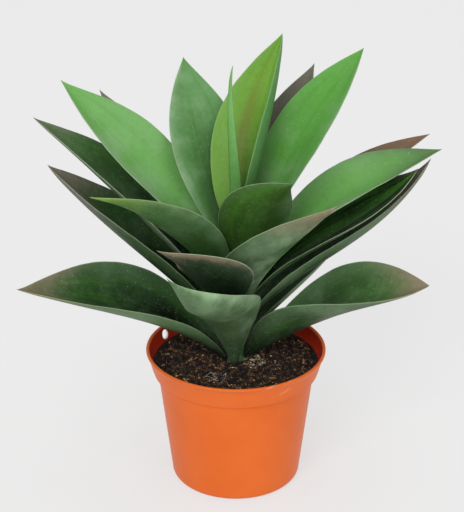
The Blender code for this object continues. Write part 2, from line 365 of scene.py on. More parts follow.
LEAVES = (
    Leaf("low_front", -99, 94, (28, 137, 2), (67, 162, -4), (95, 199, -31), 52, 0.45, 1.6,
         (20, 16), (10, 13), (30, 24)),
    Leaf("low_left", 195, 95, (51, 128, 0), (102, 151, 0), (156, 167, 0), 74, 0.52, 1.3,
         (-12, -12), (25, 12), (55, 32)),
    Leaf("low_right", -15, 97, (49, 125, 0), (93, 150, 0), (138, 168, 0), 82, 0.5, 1.05,
         (-30, 24), (25, 12), (55, 32)),
    Leaf("low_behind_left", 122, 103, (45, 127, 0), (92, 152, 0), (138, 174, 0), 60, 0.52, 1.3,
         (0, 0), (25, 12), (50, 30)),
    Leaf("low_behind_right", 50, 106, (45, 124, 0), (92, 145, 0), (140, 172, 0), 60, 0.52, 1.3,
         (0, 0), (25, 12), (50, 30)),
    Leaf("mid_front_left", -118, 110, (27, 152, 5), (57, 184, 10), (88, 211, -13), 54, 0.6, 1.7,
         (18, 12), (14, 8), (30, 20)),
    Leaf("lower_left", 183, 116, (44, 158, 0), (85, 199, 2), (129, 248, 6), 60, 0.56, 1.15,
         (-3, -3), (25, 12), (45, 25)),
    Leaf("lower_right", 12, 117, (44, 156, -2), (93, 188, -4), (138, 240, -8), 42, 0.56, 1.2,
         (-8, -6), (25, 12), (45, 25)),
    Leaf("lower_behind", 82, 120, (40, 163, 0), (82, 198, 0), (120, 222, 0), 48, 0.56, 1.3,
         (0, 0), (20, 12), (45, 25)),
    Leaf("mid_front_right", -63, 129, (23, 165, -3), (47, 196, 5), (77, 235, 37), 52, 0.5, 1.4,
         (-6, 2), (12, 8), (28, 15)),
    Leaf("behind_left", 140, 127, (46, 176, 0), (90, 226, 0), (132, 268, -2), 46, 0.57, 1.3,
         (-4, -6), (20, 12), (40, 25)),
    Leaf("mid_left", 178, 133, (46, 184, 0), (88, 231, 0), (139, 276, 0), 50, 0.56, 1.3,
         (-12, -10), (20, 12), (45, 25)),
    Leaf("mid_right", 4, 135, (43, 174, 0), (87, 203, 0), (127, 237, 0), 49, 0.58, 1.2,
         (8, 14), (20, 12), (40, 20)),
    Leaf("mid_behind", 98, 138, (34, 186, 0), (66, 221, 0), (95, 242, 0), 48, 0.57, 1.3,
         (0, 0), (20, 12), (40, 25)),
    Leaf("behind_right", 45, 141, (44, 172, 0), (98, 200, -8), (170, 230, -34), 30, 0.64, 1.2,
         (4, 4), (18, 12), (26, 20)),
    Leaf("high_front", -84, 144, (15, 184, 8), (29, 220, 13), (50, 248, 33), 53, 0.6, 1.2,
         (0, 0), (10, 8), (26, 20)),
    Leaf("high_front_left", 225, 149, (35, 191, 0), (76, 228, 0), (120, 250, -15), 45, 0.48, 1.5,
         (20, 26), (12, 8), (28, 15)),
    Leaf("high_right", 10, 148, (44, 191, 0), (93, 224, 0), (147, 245, 0), 50, 0.56, 1.3,
         (6, 18), (20, 12), (35, 25)),
    Leaf("high_left", 170, 155, (39, 206, 0), (79, 252, 1), (122, 298, 2), 57, 0.56, 1.3,
         (-16, -26), (20, 12), (35, 25)),
    Leaf("tall_behind", 56, 155, (33, 206, 0), (62, 252, -3), (88, 294, -8), 44, 0.6, 1.3,
         (0, 0), (15, 12), (35, 25)),
    Leaf("tall_left", 116, 160, (20, 208, 3), (43, 256, 8), (62, 304, 11), 56, 0.57, 1.15,
         (0, 0), (12, 8), (24, 15)),
    Leaf("tall_right", 18, 163, (28, 217, 0), (57, 267, 0), (92, 318, 0), 58, 0.56, 1.1,
         (10, 16), (15, 10), (30, 20)),
    Leaf("tall_centre", 68, 175, (13, 224, -4), (31, 273, -9), (45, 326, -16), 74, 0.52, 1.15,
         (-36, -34), (24, 18), (46, 45)),
    Leaf("heart", 180, 181, (2, 222, 0), (4, 268, 0), (2, 315, 0), 12, 0.4, 1.3,
         (0, 0), (60, 50), (40, 20)),
)


def bezier_handles(points):
    """The two handles of the cubic curve that passes four places at equal steps."""
    root, near, far, tip = points
    return ((-5 * root + 18 * near - 9 * far + 2 * tip) / 6,
            (2 * root - 9 * near + 18 * far - 5 * tip) / 6)


def leaf_places(leaf):
    """Root, third, two thirds and tip of a leaf's midrib, in metres, and its level side direction."""
    angle = math.radians(leaf.azimuth)
    outward = Vector((math.cos(angle), math.sin(angle), 0.0))
    aside = Vector((-math.sin(angle), math.cos(angle), 0.0))
    share = max(0.0, (leaf.root * MM - STEM_NECK) / (STEM_TOP - STEM_NECK))
    reach = between(STEM_FOOT_RADIUS, STEM_TOP_RADIUS, share) + ROOT_CLEAR
    places = [outward * reach + Vector((0, 0, leaf.root * MM))]
    for reach, height, left in (leaf.near, leaf.far, leaf.tip):
        places.append((outward * reach + Vector((0, 0, height)) + aside * left) * MM)
    return places, aside


def blade_tree():
    """One closed blade grown along a cubic curve: the rule of the solids, with rounded margins."""
    number, count, vector = "NodeSocketFloat", "NodeSocketInt", "NodeSocketVector"
    inputs = [(name, vector, None) for name in ("Root", "First Handle", "Second Handle", "Tip", "Aside")]
    inputs += [(name, number, None) for name in (
        "Width", "Belly", "Taper", "Root Half Width", "Roll Root", "Roll Tip", "Fold Root", "Fold Tip",
        "Curl Root", "Curl Tip", "Rib Root", "Rib Tip", "Margin", "Crease", "Buried", "Ripple",
        "Ripple Length", "Seed")]
    inputs += [("Rows", count, LEAF_ROWS), ("Points Around", count, LEAF_AROUND),
               ("Material", "NodeSocketMaterial", None)]
    tree, given = new_tree("leaf_blade", "GeometryNodeTree", inputs, [("Geometry", "NodeSocketGeometry")])

    sheet = add_node(tree, "GeometryNodeMeshGrid", {
        "Size X": 1.0, "Size Y": 1.0, "Vertices X": given["Rows"], "Vertices Y": given["Points Around"]})
    here_x, here_y, _ = parts_of(out(add_node(tree, "GeometryNodeInputPosition")))
    step = here_x + 0.5
    share = between(given["Buried"] * -1.0, 1.0, step)
    along = greater(share, 0.0)
    turn = (here_y + 0.5) * math.tau
    across = cos(turn)
    top = sign_of(sin(turn)) * size_of(sin(turn))**MARGIN_ROUNDING
    under = (1.0 - top) * 0.5

    shape = keep(tree, out(sheet), "along", along)
    shape = keep(tree, shape, "across", across)
    shape = keep(tree, shape, "under", under)

    curve = out(add_node(tree, "GeometryNodeCurvePrimitiveBezierSegment", {
        "Resolution": MIDRIB_STEPS, "Start": given["Root"], "Start Handle": given["First Handle"],
        "End Handle": given["Second Handle"], "End": given["Tip"]}, mode="POSITION"))
    length = out(add_node(tree, "GeometryNodeCurveLength", {"Curve": curve}))
    sample = add_node(tree, "GeometryNodeSampleCurve", {"Curves": curve, "Factor": along}, mode="FACTOR")
    heading = unit(out(sample, "Tangent"))
    place = out(sample, "Position") + heading * (lesser(share, 0.0) * length)
    side = unit(given["Aside"] - heading * dot(heading, given["Aside"]))
    roll = between(given["Roll Root"], given["Roll Tip"], along)
    side = side * cos(roll) + cross(heading, side) * sin(roll)
    face = cross(heading, side)

    rise = given["Taper"] * given["Belly"] / (1.0 - given["Belly"])
    peak = given["Belly"]**rise * (1.0 - given["Belly"])**given["Taper"]
    bulge = along**rise * (1.0 - along)**given["Taper"] / peak
    width = given["Width"] * 0.5 * bulge + given["Root Half Width"] * (1.0 - along)**3.0
    width = width * lesser(step * ROOT_CLOSING, 1.0)
    fold = between(given["Fold Root"], given["Fold Tip"], along)
    curl = between(given["Curl Root"], given["Curl Tip"], along)
    outer = size_of(across)
    eased = (across * across + given["Crease"] * given["Crease"])**0.5
    tilt = fold + curl * outer
    sideways = sign_of(across) * width * (sin(tilt) - sin(fold)) / curl
    height = width * (cos(fold) - cos(fold + curl * (eased - given["Crease"]))) / curl
    lean = tilt * across / eased
    rib = between(given["Rib Root"], given["Rib Tip"], along)
    thickness = given["Margin"] + (rib - given["Margin"]) * (1.0 - outer * outer)
    thinning = lesser((1.0 - along) * TIP_THINNING, 1.0)**0.5
    thickness = thickness * thinning * lesser(step * ROOT_CLOSING, 1.0)

    wave_place = vector_of(tree, along * length / given["Ripple Length"], sign_of(across), given["Seed"])
    wave = noise(tree, wave_place, 1.0, 3.0) - 0.5
    height = height + given["Ripple"] * wave * outer**3.0 * lesser(width * RIPPLE_FADE, 1.0)
    normal = face * cos(lean) - side * sin(lean)
    spot = place + side * sideways + face * height - normal * (thickness * under)
    shape = out(add_node(tree, "GeometryNodeSetPosition", {"Geometry": shape, "Position": spot}))
    shape = out(add_node(tree, "GeometryNodeMergeByDistance", {"Geometry": shape, "Distance": SEAM_WELD}))
    shape = out(add_node(tree, "GeometryNodeFlipFaces", {"Mesh": shape}))
    close_tree(tree, shape, given["Material"])
    return tree


# Skin of the leaves: one group gives colour, roughness and relief to every leaf's own material

CLOUDS_PER_METRE = 34.0
MOTTLES_PER_METRE = 300.0
GRAINS_PER_METRE = 1300.0
SPECKS_PER_METRE = 560.0
CLOUDS_ACROSS, CLOUDS_ALONG = 4.0, 1.8
STREAKS_ACROSS, STREAKS_ALONG = 46.0, 7.0
FACE_SHIFT = 3.0  # how far apart the two faces lie in the noise
STRIPE_PLACE = 0.4


def leaf_skin():
    """Along runs from 0 at the root to 1 at the tip, across from -1 to 1 between the margins, and under
    from 0 on the inner face to 1 on the outer one."""
    colour, number = "NodeSocketColor", "NodeSocketFloat"
    inputs = [("Inner", colour, MID), ("Outer", colour, GREY_GREEN), ("Blush", colour, PURPLE),
              ("Blush Start", number, 0.7), ("Blush Amount", number, 0.6), ("Blush Edge", number, 0.3),
              ("Bloom Amount", number, 0.25), ("Glow Amount", number, 0.3), ("Channel Shade Amount", number, 0.5),
              ("Stripe Amount", number, 0.1), ("Rim Highlight Amount", number, 0.5), ("Lean", number, 0.0),
              ("Drift", number, 0.0), ("Seed", number, 0.0)]
    tree, given = new_tree("leaf_skin", "ShaderNodeTree", inputs, [
        ("Colour", colour), ("Roughness", number), ("Height", number)])

    def stored(name):
        return out(add_node(tree, "ShaderNodeAttribute", attribute_type="GEOMETRY", attribute_name=name),
                   "Fac")

    along, across, under = stored("along"), stored("across"), stored("under")
    here = out(add_node(tree, "ShaderNodeTexCoord"), "Object")
    seed = given["Seed"]
    slice_of_face = under * FACE_SHIFT + seed
    blade = vector_of(tree, across * CLOUDS_ACROSS, along * CLOUDS_ALONG, slice_of_face)
    long_clouds = noise(tree, blade, 1.0, 4.0, 0.6)
    blade = vector_of(tree, across * STREAKS_ACROSS, along * STREAKS_ALONG, slice_of_face)
    fine_streaks = noise(tree, blade, 1.0, 3.0)
    clouds = noise(tree, here, CLOUDS_PER_METRE, 4.0, 0.6, seed)
    mottle = noise(tree, here, MOTTLES_PER_METRE, 5.0, 0.7, seed)
    grain = noise(tree, here, GRAINS_PER_METRE, 3.0, 0.6, seed)
    outer = size_of(across)
    face = ease(under, 0.35, 0.65)
    inner = 1.0 - face

    # Fresh green patches away from the margins
    body = blend_colours(face, given["Inner"], given["Outer"])
    glow = ease(long_clouds, 0.46, 0.68) * ease(outer, 1.0, 0.55) * given["Glow Amount"]
    body = blend_colours(glow, body, GLOW)
    # Painted shade down the channel and over the foot of the blade, deep in the rosette, and one light band
    # beside the midrib
    valley = ease(along + (clouds - 0.5) * 0.4, 0.85, 0.25) * ease(outer, 1.0, 0.25)
    # Lit Side moves the painted shade of the channel to the half of the blade away from the light
    valley = valley * (1.0 - given["Lean"] * across) * (1.0 - face * 0.3)
    body = blend_colours(valley * given["Channel Shade Amount"], body, SHADE)
    # Painted shade over the foot of the blade, near the stem where the other leaves shade it
    foot = ease(along, 0.3, 0.0) * (given["Channel Shade Amount"] + face * 0.4) * 0.75
    body = blend_colours(foot, body, SHADE)
    band = size_of(across - STRIPE_PLACE) + (fine_streaks - 0.5) * 0.3
    stripe = ease(band, 0.24, 0.02) * inner * ease(along, 0.98, 0.6) * (0.5 + mottle)
    body = blend_colours(stripe * given["Stripe Amount"], body, STRIPE)

    # Waxy bloom near the margins and in clouds, partly a painted sheen at the margins, with painted light
    # added on the lit side and, by drift, along the blade, then the blush of the tip
    bloom_and_painted_light = ease(outer + (clouds - 0.5) * 0.5, 0.45, 1.05) * 0.55 + ease(clouds, 0.42, 0.72) * 0.6
    bloom_and_painted_light = bloom_and_painted_light * (given["Lean"] * across + 1.0) * (given["Drift"] * (along * 2.0 - 1.0) + 1.0)
    bloom_and_painted_light = bloom_and_painted_light * given["Bloom Amount"]
    body = blend_colours(bloom_and_painted_light, body, BLOOM)
    reach = along + (clouds - 0.5) * 0.35 + outer**3.0 * given["Blush Edge"]
    blush = ease(reach, given["Blush Start"], given["Blush Start"] + 0.35) * given["Blush Amount"]
    body = blend_colours(blush * (0.75 + mottle * 0.5), body, given["Blush"])

    # Fine mottles and streaks, a pale rim that is a painted highlight along the margins, and small specks
    body = blend_colours(ease(mottle, 0.5, 0.25) * 0.14, body, SHADE)
    body = blend_colours(ease(mottle, 0.5, 0.75) * 0.14, body, BLOOM)
    body = blend_colours(ease(fine_streaks, 0.55, 0.85) * 0.16, body, BLOOM)
    rim = ease(outer, 0.965, 0.995) * given["Rim Highlight Amount"]
    body = blend_colours(rim, body, RIM_HIGHLIGHT)
    cells = add_node(tree, "ShaderNodeTexVoronoi", {"Vector": here, "Scale": SPECKS_PER_METRE})
    lucky = ease(out(add_node(tree, "ShaderNodeSeparateColor", {0: out(cells, "Color")}), 0), 0.9, 0.94)
    speck = ease(out(cells, "Distance"), 0.26, 0.14) * lucky
    body = blend_colours(speck * 0.3, body, SPECK)
    roughness = 0.46 + bloom_and_painted_light * 0.3 + (mottle - 0.5) * 0.2 + blush * 0.08
    height = fine_streaks * 0.35 + mottle * 0.4 + grain * 0.35
    end_tree(tree, Colour=body, Roughness=roughness, Height=height)
    return tree


def new_material(name, **fixed):
    """A Principled material with some of its sockets set, and its tree and shader."""
    material = bpy.data.materials.new(name)
    material.use_nodes = True
    shader = material.node_tree.nodes["Principled BSDF"]
    for label, value in fixed.items():
        shader.inputs[label.replace("_", " ")].default_value = value
    return material, material.node_tree, shader


def relieve(tree, shader, height, depth, strength):
    """Feeds a height in units of depth, in metres, to the shader's normal."""
    bump = add_node(tree, "ShaderNodeBump", {"Height": height, "Distance": depth, "Strength": strength})
    put(tree, shader.inputs["Normal"], out(bump))


# A leaf's colours, where its blush starts and how much there is of it all in all and at the margins, and
# its amounts of bloom (partly a painted sheen), glow, painted shade in the channel, stripe and painted
# highlight on the rim. Lean sends the bloom to the lit side as painted light and the painted shade of the
# channel to the other, and drift sends the bloom towards the tip, or, if it is negative, towards the shaded
# root as painted light. The darkest colours, on leaves that lie in shade such as mid_front_left and
# mid_right, are their own deep green with painted shade in it.
Looks = namedtuple("Looks", "inner outer blush start amount edge bloom glow valley stripe rim lean drift")

LOOKS = {
    "low_front": Looks(GREY_GREEN, GREY_GREEN, ROSE, 0.9, 0.3, 0.1, 0.5, 0.05, 0.3, 0.0, 0.5, 0.7, 0.0),
    "low_left": Looks(DEEP, GREY_GREEN, ROSE, 0.72, 0.85, 0.1, 0.14, 0.3, 0.95, 0.0, 0.35, 0.0, 0.6),
    "low_right": Looks(FERN, OLIVE, ROSE, 0.7, 0.9, 0.1, 0.35, 0.3, 0.8, 0.0, 0.35, 0.0, 1.0),
    "low_behind_left": Looks(DEEP, GREY_GREEN, PURPLE, 0.7, 0.7, 0.2, 0.2, 0.3, 0.5, 0.0, 0.4, 0.0, 0.0),
    "low_behind_right": Looks(DEEP, GREY_GREEN, PURPLE, 0.7, 0.7, 0.2, 0.2, 0.3, 0.5, 0.0, 0.4, 0.0, 0.0),
    "mid_front_left": Looks(DARK, DARK, ROSE, 0.8, 0.75, 0.42, 0.05, 0.0, 1.0, 0.0, 0.8, 0.3, 0.2),
    "lower_left": Looks(DEEP, OLIVE, PURPLE, 0.66, 0.95, 0.1, 0.12, 0.2, 0.95, 0.0, 0.4, 0.0, 0.6),
    "lower_right": Looks(DARK, GREY_GREEN, PURPLE, 0.66, 1.0, 0.1, 0.3, 0.1, 0.6, 0.0, 0.5, 0.0, 0.0),
    "lower_behind": Looks(DEEP, DUSK, PURPLE, 0.6, 0.7, 0.3, 0.2, 0.2, 0.5, 0.0, 0.5, 0.0, 0.0),
    "mid_front_right": Looks(GREY_GREEN, GREY_GREEN, ROSE,
                             0.66, 0.95, 0.1, 1.0, 0.05, 0.55, 0.0, 0.6, 1.0, 0.2),
    "behind_left": Looks(DEEP, PURPLE, PURPLE, 0.5, 0.95, 0.3, 0.3, 0.1, 0.4, 0.0, 0.5, 0.0, 0.0),
    "mid_left": Looks(FERN, DUSK, PURPLE, 0.78, 0.95, 0.1, 0.3, 0.4, 0.9, 0.0, 0.5, 0.8, 0.2),
    "mid_right": Looks(DARK, OLIVE, PURPLE, 0.9, 0.5, 0.3, 0.06, 0.6, 0.5, 0.0, 0.6, -0.6, 0.0),
    "mid_behind": Looks(DEEP, DUSK, PURPLE, 0.6, 0.7, 0.3, 0.2, 0.2, 0.5, 0.0, 0.5, 0.0, 0.0),
    "behind_right": Looks(DUSK, OLIVE, RUSSET, 0.62, 0.95, 0.1, 0.1, 0.05, 0.3, 0.0, 0.5, 0.0, 0.0),
    "high_front": Looks(MOSS, MOSS, GREY_GREEN, 0.85, 0.6, 0.2, 0.16, 0.45, 0.5, 0.0, 0.5, 0.6, 0.2),
    "high_front_left": Looks(OLIVE, FERN, STRAW, 0.68, 0.9, 0.1, 0.25, 0.7, 0.4, 0.0, 0.5, 0.3, 0.0),
    "high_right": Looks(FRESH, GREY_GREEN, GREY_GREEN,
                        0.62, 0.85, 0.1, 0.9, 0.1, 0.0, 0.0, 0.4, -0.4, -0.7),
    "high_left": Looks(FRESH, GREY_GREEN, STRAW, 0.95, 0.3, 0.1, 0.75, 0.3, 0.0, 0.05, 0.4, 0.7, -0.7),
    "tall_behind": Looks(DUSK, PURPLE, PURPLE, 0.3, 0.8, 0.3, 0.2, 0.05, 0.3, 0.0, 0.4, 0.0, 0.0),
    "tall_left": Looks(MID, GREY_GREEN, STRAW, 0.92, 0.3, 0.1, 0.5, 0.5, 0.65, 0.0, 0.4, 0.8, 0.3),
    "tall_right": Looks(BRIGHT, GREY_GREEN, STRAW, 0.94, 0.3, 0.1, 0.6, 0.3, 0.0, 0.05, 0.4, -0.5, -0.9),
    "tall_centre": Looks(SPRING, MID, STRAW, 0.85, 0.3, 0.1, 0.1, 0.4, 0.55, 0.5, 0.3, 0.8, 0.5),
    "heart": Looks(FRESH, FRESH, STRAW, 0.9, 0.3, 0.1, 0.2, 0.05, 0.2, 0.0, 0.4, 0.0, 0.0),
}

BRIGHT_LEAVES = ("high_front_left", "high_right", "high_left", "tall_behind", "tall_left", "tall_right",
                 "tall_centre", "heart")


def leaf_material(name, skin, looks, seed):
    """A leaf's own material: the shared skin with this leaf's looks."""
    material, tree, shader = new_material("leaf_" + name, IOR=1.42, Specular_IOR_Level=0.22)
    paint = add_node(tree, "ShaderNodeGroup", node_tree=skin)
    values = (("Inner", looks.inner), ("Outer", looks.outer), ("Blush", looks.blush),
              ("Blush Start", looks.start), ("Blush Amount", looks.amount), ("Blush Edge", looks.edge),
              ("Bloom Amount", looks.bloom), ("Glow Amount", looks.glow),
              ("Channel Shade Amount", looks.valley), ("Stripe Amount", looks.stripe),
              ("Rim Highlight Amount", looks.rim), ("Lean", looks.lean), ("Drift", looks.drift), ("Seed", seed))
    for label, value in values:
        paint.inputs[label].default_value = value
    put(tree, shader.inputs["Base Color"], out(paint, "Colour"))
    put(tree, shader.inputs["Roughness"], out(paint, "Roughness"))
    relieve(tree, shader, out(paint, "Height"), SKIN_RELIEF, 0.7)
    return material


def grow_leaves():
    """One blade for each row of the table, in place of that leaf's solid."""
    blade = blade_tree()
    skin = leaf_skin()
    for number, leaf in enumerate(LEAVES):
        places, aside = leaf_places(leaf)
        first, second = bezier_handles(places)
        seed = number * SEED_STEP
        material = leaf_material(leaf.name, skin, LOOKS[leaf.name], seed)
        piece = grown("blade_" + leaf.name, blade, {
            "Root": places[0], "First Handle": first, "Second Handle": second, "Tip": places[3],
            "Aside": aside, "Width": leaf.width * MM, "Belly": leaf.belly, "Taper": leaf.taper,
            "Root Half Width": ROOT_HALF_WIDTH, "Roll Root": math.radians(leaf.roll[0]),
            "Roll Tip": math.radians(leaf.roll[1]), "Fold Root": math.radians(leaf.fold[0]),
            "Fold Tip": math.radians(leaf.fold[1]), "Curl Root": math.radians(leaf.curl[0]),
            "Curl Tip": math.radians(leaf.curl[1]), "Rib Root": RIB_ROOT, "Rib Tip": RIB_TIP,
            "Margin": MARGIN, "Crease": CREASE, "Buried": LEAF_BURIED, "Ripple": RIPPLE,
            "Ripple Length": RIPPLE_LENGTH, "Seed": seed, "Rows": LEAF_ROWS,
            "Points Around": LEAF_AROUND, "Material": material})
        slot = "leaf_bright_green" if leaf.name in BRIGHT_LEAVES else "leaf_dark_green"
        dress(piece, slot, "leaf_" + leaf.name)


# Turned pieces: pot, peat and neck, each from points on its profile

POT_HEIGHT = 102 * MM
LIP_RADIUS = 65 * MM
BASE_RADIUS = 47 * MM
BASE_CORNER = 4.7 * MM
STEP_HEIGHT = 84 * MM
STEP_RADIUS = 56.6 * MM
BAND_RADIUS = 59.8 * MM
LIP_BEAD = 1.2 * MM
STEP_SLOPE = 0.8 * MM
WALL = 1.6 * MM
FLOOR = 2.0 * MM
POT_SIDES = 180
RIM_HOLE_RADIUS = 3.5 * MM
RIM_HOLE_HEIGHT = 95.3 * MM
RIM_HOLE_AZIMUTH = 149
DRAIN_HOLES = 6
DRAIN_HOLE_RADIUS = 4.5 * MM
DRAIN_RING_RADIUS = 30 * MM
PEG_LENGTH = 12 * MM
PEG_SIDES = 40
TURNED_WELD = 0.002 * MM
SHARP_ANGLE = 38
GAP = 0.3 * MM
SOIL_TOP = 90.5 * MM
SOIL_RISE = 1.2 * MM
SOIL_RINGS = 70
SOIL_SIDES = 200
SOIL_HOLE_RADIUS = 5.0 * MM
SOIL_HOLE_DEPTH = 12 * MM
SOIL_EDGE_GAP = 0.15 * MM
LUMP_HEIGHT = 9.0 * MM
LUMPS_PER_METRE = 105.0
LUMPS_WITHIN = 59.5 * MM
FIBRE_THICKNESS = 0.09
STEM_FOOT = 60 * MM
STEM_END_RADIUS = 4.5 * MM
STEM_CLEAN, STEM_EARTHY = 94 * MM, 91 * MM
NECK_SIDES = 48
# Heights and radii of the stem, in millimetres
NECK_RINGS = ((84, 5.2), (90, 6.6), (93, 6.9), (97, 6.4), (104, 5.9), (118, 5.4), (132, 4.9),
              (146, 4.5), (160, 4.1), (168, 3.8), (172, 3.3), (175, 2.0))


def turned_tree():
    """Turns the points of a profile about +Z, with lumps on what lies above a height."""
    number, count = "NodeSocketFloat", "NodeSocketInt"
    tree, given = new_tree("turned_form", "GeometryNodeTree", [
        ("Profile", "NodeSocketGeometry", None), ("Profile Points", count, 10), ("Sides", count, 64),
        ("Lump Height", number, 0.0), ("Lumps Per Metre", number, 100.0), ("Lumps Above", number, 1.0),
        ("Lumps Within", number, 1.0), ("Seed", number, 0.0), ("Material", "NodeSocketMaterial", None),
    ], [("Geometry", "NodeSocketGeometry")])
    points = given["Profile Points"]
    sheet = add_node(tree, "GeometryNodeMeshGrid", {
        "Size X": 1.0, "Size Y": 1.0, "Vertices X": given["Sides"] + 1.0, "Vertices Y": points})
    here_x, here_y, _ = parts_of(out(add_node(tree, "GeometryNodeInputPosition")))
    angle = (here_x + 0.5) * math.tau
    row = sum_of(tree, "ROUND", (here_y + 0.5) * (points - 1.0))
    spot = out(add_node(tree, "GeometryNodeSampleIndex", {
        "Geometry": given["Profile"], "Value": out(add_node(tree, "GeometryNodeInputPosition")),
        "Index": row}, data_type="FLOAT_VECTOR", domain="POINT"))
    radius, _, height = parts_of(spot)
    turned = vector_of(tree, radius * cos(angle), radius * sin(angle), height)
    lumps = noise(tree, turned, given["Lumps Per Metre"], 4.0, 0.6, given["Seed"]) - 0.5
    above = ease(height, given["Lumps Above"], given["Lumps Above"] + 0.2 * MM)
    within = ease(radius, given["Lumps Within"], given["Lumps Within"] - 3 * MM)
    lift = given["Lump Height"] * lumps * above * within
    shape = out(add_node(tree, "GeometryNodeSetPosition", {
        "Geometry": out(sheet), "Position": turned + vector_of(tree, 0.0, 0.0, lift)}))
    shape = out(add_node(tree, "GeometryNodeMergeByDistance", {
        "Geometry": shape, "Distance": TURNED_WELD}))
    close_tree(tree, shape, given["Material"])
    return tree


def arc(centre, radius, start, end, steps):
    """Points on an arc in the radius and height plane, angles in degrees."""
    found = []
    for step in range(steps + 1):
        angle = math.radians(between(start, end, step / steps))
        found.append((centre[0] + radius * math.cos(angle), centre[1] + radius * math.sin(angle)))
    return found


def wall_radius(height):
    """The pot's outer radius below its band."""
    return between(BASE_RADIUS, STEP_RADIUS, (height - BASE_CORNER) / (STEP_HEIGHT - BASE_CORNER))


def band_radius(height):
    """The outer radius of the band under the lip."""
    share = (height - STEP_HEIGHT) / (POT_HEIGHT - 2 * LIP_BEAD - STEP_HEIGHT)
    return between(BAND_RADIUS, LIP_RADIUS - LIP_BEAD, share)


def pot_profile():
    """Radii and heights round the pot: underside, wall, step, band, lip, and down again inside."""
    corner = (BASE_RADIUS - BASE_CORNER, BASE_CORNER)
    bead = (LIP_RADIUS - LIP_BEAD, POT_HEIGHT - LIP_BEAD)
    shelf = STEP_HEIGHT + WALL
    points = [(0.0, 0.0), (20 * MM, 0.0), (36 * MM, 0.0)] + arc(corner, BASE_CORNER, -90, 0, 12)
    for share in (0.2, 0.4, 0.6, 0.8, 0.97):
        height = between(BASE_CORNER, STEP_HEIGHT, share)
        points.append((wall_radius(height), height))
    points += arc((STEP_RADIUS + 0.5 * MM, STEP_HEIGHT - 0.5 * MM), 0.5 * MM, 180, 90, 3)
    points += arc((BAND_RADIUS - 0.6 * MM, STEP_HEIGHT + STEP_SLOPE + 0.3 * MM), 0.6 * MM, -80, 0, 4)
    for share in (0.3, 0.6, 0.85):
        height = between(STEP_HEIGHT + STEP_SLOPE, POT_HEIGHT - 2 * LIP_BEAD, share)
        points.append((band_radius(height), height))
    points += arc(bead, LIP_BEAD, -60, 210, 16)
    points += [(band_radius(shelf + STEP_SLOPE) - WALL, shelf + STEP_SLOPE)]
    points += [(wall_radius(shelf) - WALL, shelf)]
    points += arc(corner, BASE_CORNER - WALL, 0, -90, 6)[:-1]
    points += [(BASE_RADIUS - BASE_CORNER, FLOOR), (20 * MM, FLOOR), (0.0, FLOOR)]
    return points


def turned(name, tree, profile, **values):
    """A piece turned from radii and heights. The other values go to the tree's inputs by name."""
    points = [(radius, 0.0, height) for radius, height in profile]
    values = {label.replace("_", " "): value for label, value in values.items()}
    return grown(name, tree, {"Profile Points": len(points), **values}, points)


def cut_holes(pot):
    """Six drain holes through the floor and one hole through the band."""
    shape = bmesh.new()
    pegs = []
    for number in range(DRAIN_HOLES):
        turn = Matrix.Rotation(number * math.tau / DRAIN_HOLES, 4, "Z")
        pegs.append((DRAIN_HOLE_RADIUS, turn @ Matrix.Translation((DRAIN_RING_RADIUS, 0, 0))))
    turn = Matrix.Rotation(math.radians(RIM_HOLE_AZIMUTH), 4, "Z")
    place = Matrix.Translation((band_radius(RIM_HOLE_HEIGHT), 0, RIM_HOLE_HEIGHT))
    pegs.append((RIM_HOLE_RADIUS, turn @ place @ Matrix.Rotation(math.pi / 2, 4, "Y")))
    for radius, matrix in pegs:
        bmesh.ops.create_cone(shape, cap_ends=True, segments=PEG_SIDES, radius1=radius, radius2=radius,
                              depth=PEG_LENGTH, matrix=matrix)
    mesh = bpy.data.meshes.new("hole_pegs")
    shape.to_mesh(mesh)
    shape.free()
    pegs = bpy.data.objects.new("hole_pegs", mesh)
    bpy.context.scene.collection.objects.link(pegs)
    cut = pot.modifiers.new("holes", "BOOLEAN")
    cut.operation = "DIFFERENCE"
    cut.object = pegs
    depsgraph = bpy.context.evaluated_depsgraph_get()
    pierced = bpy.data.meshes.new_from_object(pot.evaluated_get(depsgraph), depsgraph=depsgraph)
    pot.modifiers.clear()
    pot.data = pierced
    bpy.data.objects.remove(pegs)


# Where the pot is worn, scraped and dusty, and where painted red shade lies on the wall inside, by height
# above the floor or place across it
WEAR_LOW, WEAR_HIGH = 88 * MM, 97 * MM
SCRAPE_X, SCRAPE_WIDE, SCRAPE_NARROW = 30 * MM, 16 * MM, 6 * MM
SCRAPE_FRONT, SCRAPE_FULL = -20 * MM, -40 * MM
DUST_HEIGHT = 12 * MM
INSIDE_LOW, INSIDE_FULL = 85 * MM, 86 * MM
INSIDE_HIGH, INSIDE_END = 100 * MM, 100.8 * MM


